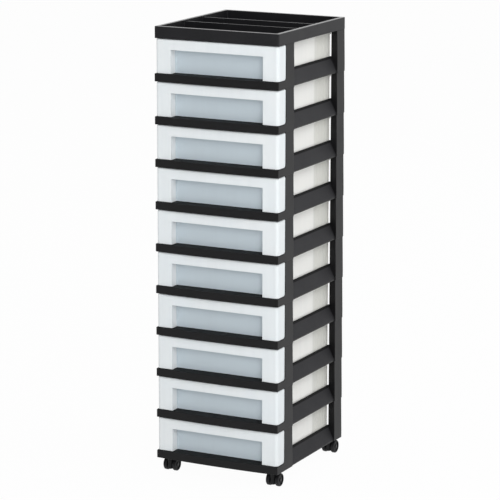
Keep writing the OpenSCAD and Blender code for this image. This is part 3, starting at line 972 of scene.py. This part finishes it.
class TowerCasters(bpy.types.Operator):
    """Twin-wheel casters that turn on steel stems and axles"""
    bl_idname = "tower.casters"
    bl_label = "Casters"
    bl_options = {"REGISTER", "UNDO"}

    def execute(self, context):
        sizes = context.scene.tower_caster
        finishes = context.scene.tower_finishes
        body_black = moulded_black("caster_black", finishes.caster_black, finishes.rack_bloom_and_sheen,
                                   finishes.grain * 1.4)
        wheel_black = wheel_plastic("wheel_black", finishes.wheel_black, finishes.grain * 1.6)
        steel = plated_steel("caster_steel", finishes.steel)
        dark_steel = plated_steel("axle_steel", finishes.dark_steel)
        for corner, side in CORNERS:
            self.body(sizes, corner, body_black)
            for which, facing in (("outer", side), ("inner", -side)):
                self.wheel(sizes, corner, which, facing, wheel_black)
            dress(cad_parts[f"{corner}_caster_stem"], steel)
            dress(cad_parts[f"{corner}_caster_axle"], dark_steel)
        return {"FINISHED"}

    def wheel(self, sizes, corner, which, facing, finish):
        node = f"{corner}_{which}_wheel"
        low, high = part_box(node)
        y, z = (low.y + high.y) / 2, (low.z + high.z) / 2
        radius = (high.z - low.z) / 2
        outer = high.x if facing > 0 else low.x
        inner = low.x if facing > 0 else high.x
        wheel = add_round_bar((low.x, y, z), (high.x, y, z), radius, 96)
        soften(wheel, sizes.tyre_round, 5, 60)
        hub_rise, pocket_rim, pocket_w, pocket_d = 0.0005, 0.0012, 0.0052, 0.0038
        self.sink(wheel, outer, facing, [(sizes.rim_w, sizes.face_sink),
                                         (radius - sizes.tyre_round - sizes.rim_w
                                          - sizes.hub_r, -hub_rise)])
        self.sink(wheel, inner, -facing, [(pocket_rim, pocket_d), (pocket_w, -pocket_d)])
        bore(wheel, low.x, high.x, y, z, sizes.bore_r)
        smooth(dress(named(wheel, f"{corner}_{which}_tyre"), finish))
        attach(wheel, f"{corner}_{which}_wheel")
        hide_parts(node)

    def sink(self, wheel, plane, facing, steps):
        """Insets the flat side of a wheel and presses it in or out, step by step."""
        pick(wheel, "FACE", lambda middle, normal: normal.x * facing > 0.99
             and near(middle.x, plane))
        for inset, depth in steps:
            bpy.ops.mesh.inset(thickness=inset, depth=0)
            push((-facing * depth, 0, 0))
        done()

    def body(self, sizes, corner, finish):
        """The barrel between the wheels, the boss round the stem and the web between them."""
        node = f"{corner}_caster_body"
        low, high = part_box(node)
        stem_low, stem_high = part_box(f"{corner}_caster_stem")
        axle_low, axle_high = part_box(f"{corner}_caster_axle")
        x, y = (stem_low.x + stem_high.x) / 2, (stem_low.y + stem_high.y) / 2
        ay, az = (axle_low.y + axle_high.y) / 2, (axle_low.z + axle_high.z) / 2
        boss_r = y - low.y
        web_t, web_reach = 0.006, 0.006
        body = add_round_bar((low.x, ay, az), (high.x, ay, az), sizes.barrel_r, 72, SOFT_EDGE)
        unite(body, add_round_bar((x, y, low.z + 2 * HAIR), (x, y, high.z), boss_r, 64,
                                  FINE_EDGE))
        unite(body, add_block((x - web_t / 2, y - 2 * HAIR, az),
                              (x + web_t / 2, ay + web_reach, az + sizes.barrel_r + FINE_EDGE),
                              0.0012, 3))
        cut(body, add_round_bar((x, y, stem_low.z - 0.0005), (x, y, high.z + OVER),
                                sizes.stem_bore_r, 48))
        bore(body, low.x, high.x, ay, az, sizes.bore_r)
        smooth(dress(named(body, f"{corner}_caster_hood"), finish))
        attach(body, f"{corner}_caster")
        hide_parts(node)


# ---- studio ----

class TowerStage(bpy.types.Operator):
    """Camera, pale floor and soft studio light"""
    bl_idname = "tower.stage"
    bl_label = "Studio"
    bl_options = {"REGISTER", "UNDO"}

    def execute(self, context):
        studio = context.scene.tower_studio
        context.scene.view_settings.view_transform = "Standard"
        self.camera(context, studio)
        self.floor(studio)
        self.world(context, studio)
        for name, (location, target, size) in LAMPS.items():
            self.lamp(name, location, target, size, getattr(studio, name))
        return {"FINISHED"}

    def camera(self, context, studio):
        cy, sy = math.cos(studio.yaw), math.sin(studio.yaw)
        cp, sp = math.cos(studio.pitch), math.sin(studio.pitch)
        back = Vector((sy * cp, -cy * cp, sp))
        bpy.ops.object.camera_add(location=Vector(studio.target) + back * studio.distance)
        camera = context.object
        camera.name = "camera"
        camera.data.lens = studio.lens
        camera.data.sensor_width = 36.0
        camera.data.clip_end = 60.0
        turn = back.to_track_quat("Z", "Y").to_matrix().to_4x4()
        camera.rotation_euler = turn.to_euler()
        camera.rotation_euler.rotate_axis("Z", studio.roll)
        context.scene.camera = camera

    def floor(self, studio):
        bpy.ops.object.select_all(action="DESELECT")
        bpy.ops.mesh.primitive_plane_add(size=24, location=(0, 0, 0))
        floor = named(bpy.context.object, "floor")
        finish = Finish("floor_white")
        seen = self.backdrop_rays(finish)
        paint = finish.node("ShaderNodeBsdfDiffuse", {}, {"Color": rgba(studio.floor)})
        glow = finish.node("ShaderNodeEmission", {}, {"Color": (1, 1, 1, 1), "Strength": 1.0})
        dress(floor, finish.surface(finish.node(
            "ShaderNodeMixShader", {}, {0: seen * 0.97, 1: paint, 2: glow})))

    def backdrop_rays(self, finish):
        """1 for the rays that show the backdrop: from the camera, by gloss or through glass."""
        path = finish.tree.nodes.new("ShaderNodeLightPath")
        camera, glossy, through = (Socket(finish, path.outputs[f"Is {kind} Ray"])
                                   for kind in ("Camera", "Glossy", "Transmission"))
        return 1 - (1 - camera) * (1 - glossy) * (1 - through)

    def world(self, context, studio):
        """A white backdrop; in reflections it dims towards the room in front and overhead."""
        world = context.scene.world or bpy.data.worlds.new("studio")
        context.scene.world = world
        sky = Finish("studio", world)
        seen = self.backdrop_rays(sky)
        camera = sky.node("ShaderNodeLightPath", output="Is Camera Ray")
        direction = sky.node("ShaderNodeTexCoord", output="Generated")
        along_y, up = sky.part(direction, "y"), sky.part(direction, "z")
        backdrop = sky.range(along_y, -0.5, 0.7, 0.15, 1.0) * sky.range(up, 0.1, 0.3, 1.0, 0.7)
        level = (1 - seen) * studio.ambient + seen * (camera + (1 - camera) * backdrop)
        light = sky.node("ShaderNodeBackground", {}, {"Color": (1, 1, 1, 1), "Strength": level})
        sky.node("ShaderNodeOutputWorld", {}, {"Surface": light})

    def lamp(self, name, location, target, size, power):
        bpy.ops.object.light_add(type="AREA", location=location)
        lamp = bpy.context.object
        lamp.name = name
        lamp.data.shape = "DISK"
        lamp.data.size = size
        lamp.data.energy = power
        towards = Vector(target) - Vector(location)
        lamp.rotation_euler = towards.to_track_quat("-Z", "Y").to_euler()


# ---- panel ----

PIECES = [TowerFrames, TowerDrawers, TowerTray, TowerCasters, TowerStage]
SETTINGS = {
    "tower_rack": TowerRackSizes,
    "tower_drawer": TowerDrawerSizes,
    "tower_tray": TowerTraySizes,
    "tower_caster": TowerCasterSizes,
    "tower_finishes": TowerFinishes,
    "tower_studio": TowerStudio,
}


class TowerPanel(bpy.types.Panel):
    """Lists the pieces of the tower and their settings"""
    bl_idname = "VIEW3D_PT_drawer_tower"
    bl_label = "Drawer Tower"
    bl_space_type = "VIEW_3D"
    bl_region_type = "UI"
    bl_category = "Drawer Tower"

    def draw(self, context):
        for piece in PIECES:
            self.layout.operator(piece.bl_idname)
        for name, group in SETTINGS.items():
            box = self.layout.box()
            settings = getattr(context.scene, name)
            for key in group.__annotations__:
                box.prop(settings, key)


def register():
    for group in SETTINGS.values():
        bpy.utils.register_class(group)
    for name, group in SETTINGS.items():
        setattr(bpy.types.Scene, name, bpy.props.PointerProperty(type=group))
    for piece in PIECES:
        bpy.utils.register_class(piece)
    bpy.utils.register_class(TowerPanel)


def unregister():
    bpy.utils.unregister_class(TowerPanel)
    for piece in reversed(PIECES):
        bpy.utils.unregister_class(piece)
    for name in SETTINGS:
        delattr(bpy.types.Scene, name)
    for group in SETTINGS.values():
        bpy.utils.unregister_class(group)


def main():
    register()
    bpy.ops.tower.stage()
    bpy.ops.tower.shelf_frames()
    bpy.ops.tower.drawers()
    bpy.ops.tower.tray()
    bpy.ops.tower.casters()


if __name__ == "__main__":
    main()
